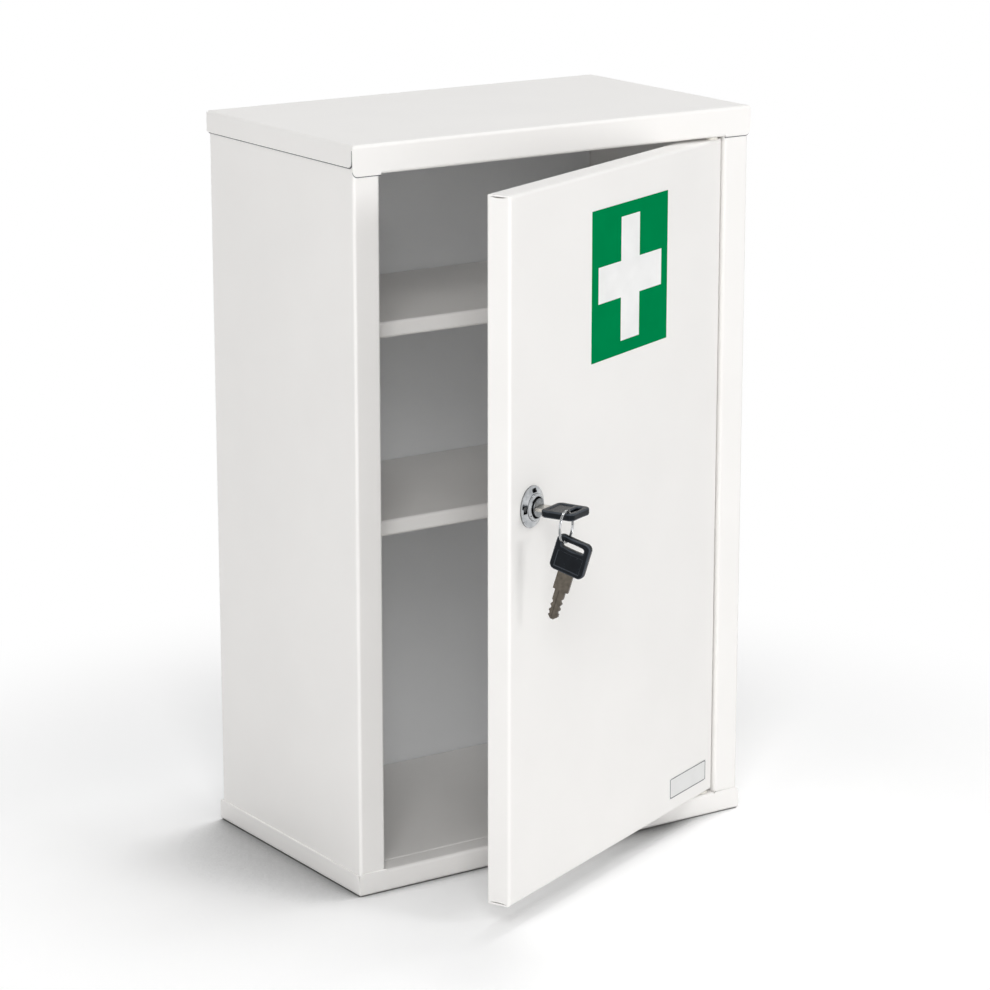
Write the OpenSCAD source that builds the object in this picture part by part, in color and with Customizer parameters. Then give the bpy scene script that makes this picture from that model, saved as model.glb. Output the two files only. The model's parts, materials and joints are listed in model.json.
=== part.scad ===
// Lockable medicine cabinet of folded, powder-coated sheet steel.
// Millimetres. +Z is up, the front faces -Y, and the origin is the middle of the base on the floor.
// The door is drawn closed and then swung about its pins by door_open.

/* [Cabinet] */
// Overall width, over the lid and the base
cab_w = 290; // [260:1:400]
// Overall depth, front to back
cab_d = 170; // [150:1:260]
// Overall height
cab_h = 460; // [430:1:700]
// Thickness of the steel sheet
sheet = 1; // [0.7:0.05:1.2]
// Outside radius of a folded edge
bend_r = 2; // [1.6:0.1:2.4]

/* [Lid and base] */
// Height of the lid's front flange
lid_front_h = 18; // [15:0.5:24]
// Height of the lid's side and back flanges
lid_side_h = 13; // [10:0.5:14]
// Height of the base's front flange
base_front_h = 14; // [13:0.5:20]
// Height of the base's side and back flanges
base_side_h = 13; // [9:0.5:13]
// How far the front flanges are folded back into the opening
hem_depth = 13.5; // [11:0.5:14]
// Radius of a flange's free corner at its end
flange_corner_r = 3.5; // [2:0.5:5]
// Width of the relief gap between two flanges at a corner
relief_gap = 0.8; // [0.4:0.1:1.2]
// Radius of the relief hole at each end of a front hem
relief_hole_r = 1.1; // [0.6:0.1:1.4]
// Step down from the base's front hem to the floor panel
floor_step = 0; // [0:0.5:2]

/* [Side and back panels] */
// Width of a front stile, from the outside of the cabinet
stile_w = 19; // [17:0.5:26]
// Width of the stop lip that the closed door meets
stop_lip_w = 8; // [5:0.5:9]
// Width of a side panel's back flange
back_flange_w = 12; // [8:0.5:16]
// Diameter of a wall screw hole in the back panel
wall_hole_d = 6.5; // [4:0.5:9]
// Distance between the wall screw holes, side to side
wall_hole_dx = 210; // [120:1:220]
// Distance between the wall screw holes, up and down
wall_hole_dz = 370; // [340:1:380]
// Height of the lower wall screw holes
wall_hole_z = 45; // [30:1:60]

/* [Shelves] */
// Height of the upper shelf's top face
upper_shelf_z = 345; // [320:1:380]
// Height of the lower shelf's top face
lower_shelf_z = 222; // [180:1:240]
// How far a shelf's front lies behind the cabinet's front
shelf_setback = 38; // [34:1:60]
// Height of a shelf's front lip
shelf_lip_h = 10; // [8:0.5:16]
// Depth of the fold under the front lip
shelf_fold = 6; // [4:0.5:12]
// Height of a shelf's side and back flanges
shelf_flange_h = 9; // [6:0.5:14]

/* [Door] */
// How far the door stands open, in degrees
door_open = 24; // [0:1:110]
// Thickness of the door, front to back
door_t = 16; // [15.5:0.1:16.5]
// Gap between the door and the frame round it
door_gap = 1.5; // [1.2:0.1:2]
// Width of the fold round the door's back edge
door_fold = 6; // [4:0.5:8]
// Distance of the hinge pins from the door's hinge edge
pin_inset = 6; // [5.5:0.1:7]
// Distance of the hinge pins behind the door's front face
pin_depth = 4.5; // [4.3:0.1:5]
// Diameter of a hinge pin
pin_d = 4; // [3:0.1:4.2]
// Radial running clearance of a hinge pin in the door
pin_clear = 0.06; // [0.02:0.01:0.1]
// Length of a hinge pin beyond the door's flange
pin_tail = 3; // [2:0.5:6]
// Diameter of a hinge pin's head
pin_head_d = 7; // [6:0.5:8]
// Height of a hinge pin's head
pin_head_h = 1.5; // [1:0.1:2]
// Outside diameter of a hinge washer
hinge_washer_d = 8; // [6:0.5:8.5]
// Width of the stiffening channel inside the door
stiffener_w = 40; // [30:1:70]
// Depth of the stiffening channel
stiffener_depth = 10; // [6:0.5:12]
// Width of the channel's welding flanges
stiffener_flange = 10; // [6:0.5:20]
// Greatest opening of the slit above the door's side flanges
slit_h = 0.8; // [0.4:0.1:1.2]
// Diameter of a door bumper
bumper_d = 6; // [4:0.5:7]
// Thickness of a door bumper
bumper_t = 1; // [0.6:0.1:1.5]
// Clearance between the closed door and its bumpers
bumper_clear = 0.2; // [0.1:0.05:0.5]
// Height of a bumper from the nearer end of the door
bumper_from_end = 60; // [30:1:120]

/* [Sign and label] */
// Width of the first-aid sign
sign_w = 90; // [60:1:120]
// Height of the first-aid sign
sign_h = 91; // [60:1:120]
// Distance of the sign from the door's hinge edge
sign_from_edge = 68; // [40:1:70]
// Distance of the sign from the door's top edge
sign_from_top = 22.5; // [15:0.5:60]
// Distance across the white cross
cross_span = 75; // [45:1:80]
// Width of the cross's arms
cross_arm = 22; // [12:1:26]
// Thickness of a printed sticker
sticker_t = 0.2; // [0.1:0.05:0.4]
// Width of the blank label
label_w = 47; // [30:1:60]
// Height of the blank label
label_h = 14; // [8:0.5:20]
// Distance of the label from the door's hinge edge and bottom edge
label_from_edge = 9; // [6:0.5:20]

/* [Lock] */
// Distance of the lock's axis from the door's free edge
lock_from_edge = 23.5; // [22:0.5:30]
// Height of the lock's axis above the cabinet's base
lock_z = 255.5; // [250:0.5:300]
// Diameter of the lock's chromed face
lock_face_d = 25; // [23:0.5:28]
// Thickness of the chromed face at its rim
lock_rim_t = 1.2; // [0.8:0.1:1.6]
// How far the inner ring stands out from the door
lock_face_h = 4.2; // [3.6:0.1:5]
// Outside diameter of the inner ring
lock_ring_d = 15.5; // [14.5:0.5:17]
// Diameter of the lock's threaded barrel
barrel_d = 19; // [17:0.5:19.5]
// Distance over the barrel's two flats
barrel_flats = 16; // [15:0.5:17]
// Diameter of the plug that the key turns
plug_d = 11; // [10.5:0.1:11.4]
// Radial running clearance of the plug in the barrel
plug_clear = 0.06; // [0.02:0.01:0.1]
// How far the plug's face stands out from the door
plug_proud = 5.2; // [4.8:0.1:6]
// Width of the groove between the plug and the inner ring
groove_w = 1; // [0.6:0.1:1.2]
// Depth of that groove
groove_depth = 2; // [1:0.1:2.5]
// Width over the flats of the lock's nut
nut_flats = 24; // [22:0.5:26]
// Thickness of the lock's nut
nut_t = 4; // [3:0.5:6]
// Thickness of the washer under the nut
lock_washer_t = 1; // [0.6:0.1:2]
// Distance from the stop lip's back to the cam's tongue
cam_clear = 0.6; // [0.3:0.1:1.5]
// Thickness of the cam
cam_t = 2; // [1.5:0.1:2.4]
// Length of the cam, from the lock's axis to its tip
cam_l = 34; // [32:0.5:36]
// Width of the cam's tongue
cam_w = 14; // [10:0.5:16]
// Offset between the cam's hub and its tongue
cam_crank = 2.2; // [2.1:0.1:3]
// Side of the square tail that drives the cam
tail_side = 6; // [5:0.1:7]
// Diameter of the cam's screw
screw_d = 4; // [3:0.1:4]
// Diameter of the screw's head
screw_head_d = 9; // [8:0.5:12]
// Height of the screw's head
screw_head_h = 2.4; // [1.6:0.1:4]
// Number of wafers in the plug
wafer_count = 4; // [2:1:5]
// Thickness of a wafer
wafer_t = 1; // [0.6:0.1:1.2]

/* [Keys] */
// Width and length of a key's plastic bow
bow_w = 22; // [20:0.5:26]
// Thickness of the bow
bow_t = 4.4; // [4:0.1:4.8]
// Radius of the bow's corners
bow_r = 3.5; // [2.5:0.5:5]
// Bevel along the bow's edges
bow_bevel = 0.9; // [0.5:0.1:1.2]
// Length of the slot in the bow
slot_l = 14; // [12:0.5:15]
// Width of the slot in the bow
slot_w = 3.8; // [3.7:0.1:3.9]
// Width of the bar beyond the slot
bow_bar = 3.2; // [2.6:0.1:4]
// Depth of the recessed panel on each face of the bow
bow_recess = 0.45; // [0.2:0.05:0.8]
// Thickness of a key's steel blade
blade_t = 2; // [1.6:0.1:2.2]
// Width of the blade's shoulder
shoulder_w = 9.6; // [8.5:0.1:10]
// Length of the blade's shoulder
shoulder_l = 11; // [8:0.5:12]
// Width of the cut part of the blade
blade_w = 6.4; // [5:0.1:7]
// Length of the cut part of the blade
blade_l = 18.5; // [16:0.5:19]
// Depth of the wavy cuts in the blade
cut_depth = 0.9; // [0.5:0.1:1.3]
// Distance between two cuts
cut_pitch = 3.6; // [3:0.1:5]
// Distance of the bow from the door, with the key pushed in
bow_stand = 12; // [12:0.5:15]
// Radial clearance round the blade in its keyway
key_clear = 0.2; // [0.1:0.05:0.3]
// Outside diameter of the split ring
ring_d = 19.6; // [19.5:0.1:21]
// Thickness of the ring's wire
wire_d = 1.2; // [0.9:0.1:1.2]
// Turn of the ring about the vertical, away from the door's plane
ring_yaw = 7; // [0:1:7]
// Clearance between the ring and the bars that it carries
ring_clear = 0.3; // [0.2:0.05:0.5]
// Play of the ring in the spare key's slot
spare_play = 0.4; // [0.3:0.05:0.5]
// Tilt of the spare key as it hangs
spare_tilt = 17; // [12:1:25]

/* [Hidden] */
$fn = 64;
steel_white = "#f2f2f0";
steel_grey = "#b9bcbf";
chrome = "#d5d8db";
cut = 0.01;             // how far a cutter runs past a face
reach = 2 * cab_h;      // longer than anything that it cuts

// The cabinet's shell
half_w = cab_w / 2;
half_d = cab_d / 2;
front = sheet - half_d;                 // front face of the stiles and of the closed door
panel_x = half_w - sheet;               // outside of the side panels
inner_x = panel_x - sheet;              // inside of the side panels
stile_x = half_w - stile_w;             // inner edge of the stiles
panel_back = half_d - sheet;            // back face of the side panels' flanges
back_face = panel_back - sheet;         // back face of the back panel
back_y = back_face - sheet;             // inside of the back panel
floor_z = base_front_h - floor_step;    // top of the floor panel
hem_back = hem_depth - half_d;          // back edge of the front hems
side_clear = 0.3;                       // gap between the floor or a hem and the stiles
bumper_gap = bumper_t + bumper_clear;
stop_y = front + door_t + bumper_gap;   // front face of the stop lip

// The closed door
door_x = stile_x - door_gap;            // the door's hinge edge, and minus its free edge
door_z0 = base_front_h + door_gap;
door_z1 = cab_h - lid_front_h - door_gap;
door_h = door_z1 - door_z0;
door_w = 2 * door_x;
door_back = front + door_t;
pin_x = door_x - pin_inset;
pin_y = front + pin_depth;
washer_play = 0.1;

// The lock, on an axis through the closed door
lock_x = lock_from_edge - door_x;
tongue_y = stop_y + sheet + cam_clear - front;  // front of the cam's tongue, behind the door's face
hub_y = tongue_y + cam_crank;                   // front of the cam's hub
barrel_back = hub_y - 0.3;                      // clears the cam's hub
plug_back = hub_y - 0.1;                        // stands a little out of the barrel
slot_clear = blade_t / 2 + key_clear;
tip_y = blade_l + shoulder_l - bow_stand;       // the blade's tip, behind the door's face
keyway_end = tip_y + 0.6;                       // leaves the blade's tip free
screw_hole = keyway_end + 1.2;                  // where the cam screw's hole begins, behind the keyway
shoulder_in = shoulder_l - (bow_stand - plug_proud);  // how far the shoulder is in the plug

// The ring hangs on the bow's side bar, and the spare key hangs on the ring
side_bar = (bow_w - slot_l) / 2;
slot_a = bow_w - bow_bar - slot_w / 2;          // middle of the slot along the bow
ring_axial = 1.6;                               // thickness of the ring's two turns together
ring_r = (ring_d - wire_d) / 2;
ring_in = ring_d / 2 - wire_d;
bar_corner = norm([side_bar / 2, bow_t / 2 - bow_bevel]);
ring_drop = ring_in - ring_clear - bar_corner;  // the ring's centre below the bar's
bar_stand = bow_stand + slot_a;
ring_x = lock_x - (bow_w - side_bar) / 2;
wire_a = slot_a + slot_w / 2 - wire_d / 2 - spare_play;
wire_b = ring_axial / 2 + 2 * spare_play - slot_l / 2;

// A strip folded along a path of square turns, in plan: path is its middle line
function unit(v) = v / norm(v);
module folded(path) {
    mid = bend_r - sheet / 2;
    last = len(path) - 1;
    for (i = [0:last - 1]) {
        d = unit(path[i + 1] - path[i]);
        n = [-d[1], d[0]] * sheet / 2;
        a = path[i] + d * (i == 0 ? 0 : mid);
        b = path[i + 1] - d * (i == last - 1 ? 0 : mid);
        polygon([a + n, b + n, b - n, a - n]);
    }
    for (i = [1:last - 1]) {
        u = unit(path[i] - path[i - 1]);
        v = unit(path[i + 1] - path[i]);
        c = path[i] - u * mid + v * mid;
        intersection() {
            translate(c) difference() {
                circle(bend_r);
                circle(bend_r - sheet);
            }
            polygon([c, c + u * bend_r, c + (u - v) * bend_r, c - v * bend_r]);
        }
    }
}

// A rectangle whose two lower corners are round, standing on the X axis
module round_foot(w, h, r) {
    translate([-w / 2, r]) square([w, h - r]);
    translate([r - w / 2, 0]) square([w - 2 * r, h]);
    for (s = [-1, 1]) translate([s * (w / 2 - r), r]) circle(r);
}

// A block whose lower edges are round along X and along Y
module round_foot_block(w, d, h, r) {
    intersection() {
        rotate([90, 0, 0]) linear_extrude(d, center = true) round_foot(w, h, r);
        rotate([90, 0, 90]) linear_extrude(w, center = true) round_foot(d, h, r);
    }
}

// A folded pan with walls of one height
module pan(w, d, h) {
    difference() {
        round_foot_block(w, d, h, bend_r);
        translate([0, 0, sheet]) round_foot_block(w - 2 * sheet, d - 2 * sheet, h, bend_r - sheet);
    }
}

// What is cut off a square corner to round it: the corner is at the origin, the plate is at -X, -Y
module corner_cutter(r, t) {
    translate([0, 0, -cut]) linear_extrude(t + 2 * cut) difference() {
        translate([-r, -r]) square(r + 1);
        translate([-r, -r]) circle(r);
        translate([-r - 1, -r - 1]) square([1, r + 2]);
    }
}

// The lid or the base: a pan on its flat face, with a taller front flange that is folded back
module cap_pan(front_h, side_h) {
    hem_w = 2 * (stile_x - side_clear);
    difference() {
        pan(cab_w, cab_d, front_h);
        translate([-cab_w, sheet - half_d, side_h]) cube([2 * cab_w, cab_d, front_h]);
        for (s = [-1, 1]) {
            // relief gap beside the front flange
            translate([s * half_w - sheet - cut, sheet - half_d, bend_r + 1])
                cube([2 * sheet + 2 * cut, relief_gap, front_h]);
            // round corners at the ends of the front flange and of the side flanges
            mirror([s < 0 ? 1 : 0, 0, 0]) {
                translate([half_w, sheet - half_d, front_h]) rotate([90, 0, 0])
                    corner_cutter(flange_corner_r, sheet);
                translate([half_w - sheet, sheet + relief_gap - half_d, side_h])
                    rotate([90, 0, 0]) rotate([0, -90, 0]) mirror([0, 0, 1])
                    corner_cutter(flange_corner_r, sheet);
            }
        }
        // room for the hem's fold
        translate([-hem_w / 2, -half_d - cut, front_h - bend_r]) cube([hem_w, sheet + 2 * cut, bend_r + cut]);
    }
    difference() {
        translate([-hem_w / 2, 0, 0]) rotate([90, 0, 90]) linear_extrude(hem_w)
            folded([[sheet / 2 - half_d, front_h - bend_r - cut], [sheet / 2 - half_d, front_h - sheet / 2],
                    [hem_back, front_h - sheet / 2]]);
        for (s = [-1, 1]) translate([s * hem_w / 2, bend_r + relief_hole_r - half_d, front_h / 2])
            cylinder(h = front_h, r = relief_hole_r);
        translate([pin_x, pin_y, 0]) cylinder(h = cab_h, d = pin_d);
    }
}

module lid_pan() {
    color(steel_white) translate([0, 0, cab_h]) mirror([0, 0, 1]) cap_pan(lid_front_h, lid_side_h);
}

module base_pan() {
    color(steel_white) cap_pan(base_front_h, base_side_h);
}

// A side panel is welded inside the flanges of the base and the lid, clear of their bends
module side_panel(stop) {
    h = cab_h - 2 * bend_r;
    x = panel_x - sheet / 2;
    y = front + sheet / 2;
    xs = stile_x + sheet / 2;
    yb = stop_y + sheet / 2;
    lip = stop ? [[xs - sheet / 2 - stop_lip_w, yb]] : [];
    path = concat([[panel_x - back_flange_w, panel_back - sheet / 2], [x, panel_back - sheet / 2], [x, y],
                   [xs, y], [xs, yb]], lip);
    translate([0, 0, bend_r]) linear_extrude(h) folded(path);
}

module left_side_panel() {
    color(steel_white) mirror([1, 0, 0]) side_panel(true);
}

module right_side_panel() {
    color(steel_white) side_panel(false);
}

// The back panel fits between the bends of the side panels
module back_panel() {
    x0 = inner_x - (bend_r - sheet);
    color(steel_white) difference() {
        translate([-x0, back_y, sheet]) cube([2 * x0, sheet, cab_h - 2 * sheet]);
        for (x = [-1, 1], z = [0, wall_hole_dz])
            translate([x * wall_hole_dx / 2, back_y - 1, wall_hole_z + z])
            rotate([-90, 0, 0]) cylinder(h = sheet + 2, d = wall_hole_d);
    }
}

// The raised floor stands on its own flanges, behind the base's hem
module floor_panel() {
    y0 = hem_back + side_clear;
    foot = sheet;
    notch_y = stop_y + sheet + side_clear;
    color(steel_white) difference() {
        translate([-inner_x, 0, 0]) rotate([90, 0, 90]) linear_extrude(2 * inner_x)
            folded([[y0 + sheet / 2, foot], [y0 + sheet / 2, floor_z - sheet / 2],
                    [back_y - sheet / 2, floor_z - sheet / 2], [back_y - sheet / 2, foot]]);
        // notches for the stiles' folds, and at the left for the stop lip too
        for (s = [-1, 1]) {
            x0 = stile_x - side_clear - (s < 0 ? stop_lip_w : 0);
            translate([s < 0 ? -inner_x - cut : x0, y0 - cut, 0])
                cube([inner_x + cut - x0, notch_y + cut - y0, cab_h]);
        }
    }
}

// A shelf: a folded strip between the side panels, with a flange down each side
module shelf(z) {
    y0 = shelf_setback - half_d;
    m = sheet / 2;
    color(steel_white) union() {
        translate([-inner_x, 0, 0]) rotate([90, 0, 90]) linear_extrude(2 * inner_x)
            folded([[y0 + shelf_fold, z - shelf_lip_h + m], [y0 + m, z - shelf_lip_h + m], [y0 + m, z - m],
                    [back_y - m, z - m], [back_y - m, z - shelf_flange_h]]);
        for (s = [-1, 1]) translate([s * (inner_x - m) - m, y0 + shelf_fold + 2, z - shelf_flange_h])
            cube([sheet, back_y - y0 - shelf_fold - 4 - sheet, shelf_flange_h - m]);
    }
}

module upper_shelf() {
    shelf(upper_shelf_z);
}

module lower_shelf() {
    shelf(lower_shelf_z);
}

// A hinge pin: a rivet through the hem and the door's flange, drawn from the hem's inner face
module hinge_pin() {
    shank = sheet + door_gap + sheet + pin_tail;
    color(steel_grey) {
        translate([pin_x, pin_y, 0]) cylinder(h = shank, d = pin_d);
        translate([pin_x, pin_y, -pin_head_h]) cylinder(h = pin_head_h, d = pin_head_d);
    }
}

module lower_hinge_pin() {
    translate([0, 0, base_front_h - sheet]) hinge_pin();
}

module upper_hinge_pin() {
    translate([0, 0, cab_h - lid_front_h + sheet]) mirror([0, 0, 1]) hinge_pin();
}

module door_bumpers() {
    x = -stile_x + stop_lip_w / 2;
    color("#4a4d50") for (z = [door_z0 + bumper_from_end, door_z1 - bumper_from_end])
        translate([x, stop_y, z]) rotate([90, 0, 0]) cylinder(h = bumper_t, d = bumper_d);
}

// Swings what is drawn on the closed door about the hinge pins
module at_door() {
    translate([pin_x, pin_y, 0]) rotate([0, 0, door_open]) translate([-pin_x, -pin_y, 0]) children();
}

// Puts what is drawn on the lock's axis, with +Z out of the door, on the closed door
module at_lock() {
    at_door() translate([lock_x, front, lock_z]) rotate([90, 0, 0]) children();
}

// The closed box that the door's sheet is folded from, with its front on the XY plane
module folded_box(w, h, t, r) {
    intersection() {
        round_foot_block(w, h, t + r, r);
        translate([0, 0, t]) mirror([0, 0, 1]) round_foot_block(w, h, t + r, r);
    }
}

// The door: a pan whose four flanges are folded in again round the back
module door_pan() {
    slit_l = door_t - 2 * bend_r;
    slit_r = (slit_l * slit_l / 4 + slit_h * slit_h) / (2 * slit_h);
    slit_z = door_h / 2 - sheet + slit_r - slit_h;
    slit_x = sheet + 1 + cut;
    color(steel_white) at_door() difference() {
        translate([0, front, door_z0 + door_h / 2]) rotate([-90, 0, 0]) difference() {
            folded_box(door_w, door_h, door_t, bend_r);
            translate([0, 0, sheet])
                folded_box(door_w - 2 * sheet, door_h - 2 * sheet, door_t - 2 * sheet, bend_r - sheet);
            translate([door_fold - door_w / 2, door_fold - door_h / 2, door_t / 2])
                cube([door_w - 2 * door_fold, door_h - 2 * door_fold, door_t]);
        }
        // slits between the side flange and the top and bottom flanges, at the free edge
        for (s = [-1, 1]) intersection() {
            translate([-door_x - 1, front + door_t / 2, door_z0 + door_h / 2 + s * slit_z])
                rotate([0, 90, 0]) cylinder(h = slit_x, r = slit_r);
            translate([-door_x - 1, front, door_z0 + sheet])
                cube([slit_x, door_t, door_h - 2 * sheet]);
        }
        translate([pin_x, pin_y, door_z0 - 1]) cylinder(h = door_h + 2, r = pin_d / 2 + pin_clear);
        translate([lock_x, front, lock_z]) rotate([90, 0, 0]) barrel(2 * sheet, 1, 0.1);
    }
}

// The lock's barrel, or the hole for it: a cylinder with two flats
module barrel(length, beyond, clear) {
    intersection() {
        translate([0, 0, -length]) cylinder(h = length + beyond, d = barrel_d + 2 * clear);
        translate([-barrel_d, -barrel_flats / 2 - clear, -length - 1])
            cube([2 * barrel_d, barrel_flats + 2 * clear, length + beyond + 2]);
    }
}

// A channel welded up the middle of the door's inside
module door_stiffener() {
    m = front + 1.5 * sheet;
    back = front + stiffener_depth;
    a = stiffener_w / 2;
    b = a + stiffener_flange;
    end_gap = 2 * door_fold;
    color(steel_white) at_door() translate([0, 0, door_z0 + end_gap]) linear_extrude(door_h - 2 * end_gap)
        folded([[-b, m], [-a, m], [-a, back], [a, back], [a, m], [b, m]]);
}

module hinge_washer(z) {
    color("#e8e6df") at_door() translate([pin_x, pin_y, z]) difference() {
        cylinder(h = door_gap - washer_play, d = hinge_washer_d);
        translate([0, 0, -1]) cylinder(h = door_gap + 2, r = pin_d / 2 + pin_clear);
    }
}

module upper_hinge_washer() {
    hinge_washer(door_z1);
}

module lower_hinge_washer() {
    hinge_washer(door_z0 - door_gap + washer_play);
}

// Draws a flat sticker on the door's face
module at_face(x, z) {
    at_door() translate([x, front, z]) rotate([90, 0, 0]) linear_extrude(sticker_t) children();
}

module cross_outline() {
    square([cross_span, cross_arm], center = true);
    square([cross_arm, cross_span], center = true);
}

sign_x = door_x - sign_from_edge - sign_w / 2;
sign_z = door_z1 - sign_from_top - sign_h / 2;

module sign_panel() {
    color("#0f9a5c") at_face(sign_x, sign_z) difference() {
        square([sign_w, sign_h], center = true);
        cross_outline();
    }
}

module sign_cross() {
    color("white") at_face(sign_x, sign_z) cross_outline();
}

module blank_label() {
    x = door_x - label_from_edge - label_w;
    color("silver") at_face(x, door_z0 + label_from_edge) square([label_w, label_h]);
}

// The lock's housing: a stepped, conical face in front of the threaded barrel
module lock_housing() {
    bore = plug_d / 2 + plug_clear;
    groove = plug_d / 2 + groove_w;
    ring = lock_ring_d / 2;
    rim = lock_face_d / 2;
    bevel = 0.4;
    step = lock_rim_t + (lock_face_h - lock_rim_t) / 2;
    cone_gap = 0.3;         // from the inner ring to the foot of its wall
    cone_top = 0.9;         // from the inner ring to the cone's upper edge
    notch_l = 2.4;
    notch_w = 4.6;
    color(chrome) at_lock() difference() {
        union() {
            rotate_extrude() polygon([[bore, -1], [rim - bevel, -1], [rim - bevel, 0], [rim, 0],
                [rim, lock_rim_t - bevel], [rim - bevel, lock_rim_t], [ring + cone_top, step],
                [ring + cone_gap, step],
                [ring, lock_face_h - bevel], [ring - bevel, lock_face_h], [groove + bevel / 2, lock_face_h],
                [groove, lock_face_h - bevel / 2], [groove, lock_face_h - groove_depth],
                [bore, lock_face_h - groove_depth]]);
            barrel(barrel_back, lock_rim_t / 2, 0);
        }
        difference() {
            translate([0, 0, -1 - cut]) cylinder(h = 1 + cut, r = rim + 1);
            barrel(2, 1, 0);
        }
        translate([0, 0, -barrel_back - 1]) cylinder(h = barrel_back + 2, r = bore);
        // the two recesses in the face, a shallow one at the top and a deep one at the left
        for (a = [90, 180]) rotate([0, 0, a])
            translate([ring + 1, -notch_w / 2, a > 90 ? bevel - sheet : lock_rim_t - bevel])
            cube([notch_l, notch_w, lock_face_h + sheet]);
    }
}

module lock_washer() {
    color(steel_grey) at_lock() translate([0, 0, -sheet - lock_washer_t]) difference() {
        cylinder(h = lock_washer_t, d = nut_flats);
        translate([0, 0, -1]) cylinder(h = lock_washer_t + 2, d = barrel_d);
    }
}

module lock_nut() {
    color(steel_grey) at_lock() translate([0, 0, -sheet - lock_washer_t - nut_t]) difference() {
        cylinder(h = nut_t, r = nut_flats / 2 / cos(30), $fn = 6);
        translate([0, 0, -1]) cylinder(h = nut_t + 2, d = barrel_d);
    }
}

// A block round the lock's axis, from one depth behind the door's face to another
module lock_block(x, y, from, to) {
    translate([-x / 2, -y / 2, -to]) cube([x, y, to - from]);
}

// Draws each wafer's block, grown by g all round
wafer_x = blade_w + 2 * key_clear + 1.6;
wafer_y = min(6, blade_t + 4);
wafer_gap = 0.05;
wafer_first = 0.5;
wafer_pitch = (tip_y - wafer_first - 3) / wafer_count;
module each_wafer(x, y, t) {
    for (i = [0:wafer_count - 1]) {
        y0 = wafer_first + i * wafer_pitch;
        lock_block(x, y, y0 - t, y0 + wafer_t + t);
    }
}

module lock_plug() {
    tail_end = hub_y + cam_t;
    face = -plug_proud - 1;
    color(chrome) at_lock() difference() {
        union() {
            translate([0, 0, -plug_back]) cylinder(h = plug_back + plug_proud, d = plug_d);
            lock_block(tail_side, tail_side, plug_back - 1, tail_end);
        }
        lock_block(blade_w + 2 * key_clear, 2 * slot_clear, face, keyway_end);
        lock_block(shoulder_w + 2 * key_clear, 2 * slot_clear, face, shoulder_in + key_clear - plug_proud);
        each_wafer(wafer_x + 2 * wafer_gap, wafer_y + 2 * wafer_gap, wafer_gap);
        translate([0, 0, -tail_end - 1]) cylinder(h = tail_end + 1 - screw_hole, d = screw_d);
    }
}

module lock_wafers() {
    color("#c9a24a") at_lock() difference() {
        each_wafer(wafer_x, wafer_y, 0);
        lock_block(blade_w + key_clear, blade_t + key_clear, 0, keyway_end);
    }
}

// The cam: a cranked tongue on a round hub, pointing up while the lock is open
module lock_cam() {
    hub_r = 9;
    bend = hub_r + 1.5;
    color(steel_grey) at_lock() difference() {
        intersection() {
            translate([-hub_r, 0, 0]) rotate([90, 0, 90]) linear_extrude(2 * hub_r)
                polygon([[-hub_r, -hub_y], [-hub_r, -hub_y - cam_t], [bend + 0.5, -hub_y - cam_t],
                    [bend + 0.5 + cam_crank, -tongue_y - cam_t], [cam_l, -tongue_y - cam_t],
                    [cam_l, -tongue_y], [bend + cam_crank, -tongue_y], [bend, -hub_y]]);
            translate([0, 0, -hub_y - cam_t]) linear_extrude(cam_t + cam_crank) {
                circle(hub_r);
                translate([-cam_w / 2, 0]) square([cam_w, cam_l - cam_w / 2]);
                translate([0, cam_l - cam_w / 2]) circle(cam_w / 2);
            }
        }
        lock_block(tail_side, tail_side, hub_y - 1, hub_y + cam_t + 1);
    }
}

module cam_screw() {
    tail_end = hub_y + cam_t;
    slot = 1;
    color(steel_grey) at_lock() difference() {
        union() {
            translate([0, 0, -tail_end - screw_head_h]) cylinder(h = screw_head_h, d = screw_head_d);
            translate([0, 0, -tail_end]) cylinder(h = tail_end - screw_hole, d = screw_d);
        }
        translate([-screw_head_d, -slot / 2, -tail_end - screw_head_h - 1]) cube([2 * screw_head_d, slot, 2]);
        translate([-slot / 2, -screw_head_d, -tail_end - screw_head_h - 1]) cube([slot, 2 * screw_head_d, 2]);
    }
}

// A key lies along +X with its bow from 0 to bow_w, its blade at -X and its faces at +Z and -Z
module round_bar(x0, x1, w, r, t) {
    hull() for (x = [x0 + r, x1 - r], y = [-1, 1])
        translate([x, y * (w / 2 - r), -t / 2]) cylinder(h = t, r = r, $fn = 32);
}

// The blade's tang, which is moulded into the bow
module tang() {
    tang_l = 8;
    tang_w = 6;
    translate([-cut, -tang_w / 2, -blade_t / 2]) cube([tang_l, tang_w, blade_t]);
}

module bow() {
    s0 = slot_a - slot_w / 2;
    s1 = slot_a + slot_w / 2;
    sr = slot_w / 2 - 0.2;
    margin = 2.6;           // from the bow's edges to the recessed panel
    rib = 1.2;              // between the recessed panel and the slot's bevel
    difference() {
        hull() {
            round_bar(0, bow_w, bow_w, bow_r, bow_t - 2 * bow_bevel);
            round_bar(bow_bevel, bow_w - bow_bevel, bow_w - 2 * bow_bevel, bow_r - bow_bevel, bow_t);
        }
        round_bar(s0, s1, slot_l, sr, bow_t + 2);
        // bevelled mouth of the slot on each face
        for (s = [-1, 1]) mirror([0, 0, s < 0 ? 1 : 0]) translate([0, 0, bow_t / 2]) hull() {
            translate([0, 0, 1]) round_bar(s0 - bow_bevel, s1 + bow_bevel, slot_l + 2 * bow_bevel, sr, 2);
            translate([0, 0, -bow_bevel]) round_bar(s0, s1, slot_l, sr, 0.1);
        }
        for (s = [-1, 1]) mirror([0, 0, s < 0 ? 1 : 0])
            translate([margin, margin - bow_w / 2, bow_t / 2 - bow_recess])
            cube([s0 - bow_bevel - rib - margin, bow_w - 2 * margin, 1]);
        tang();
    }
}

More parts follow.
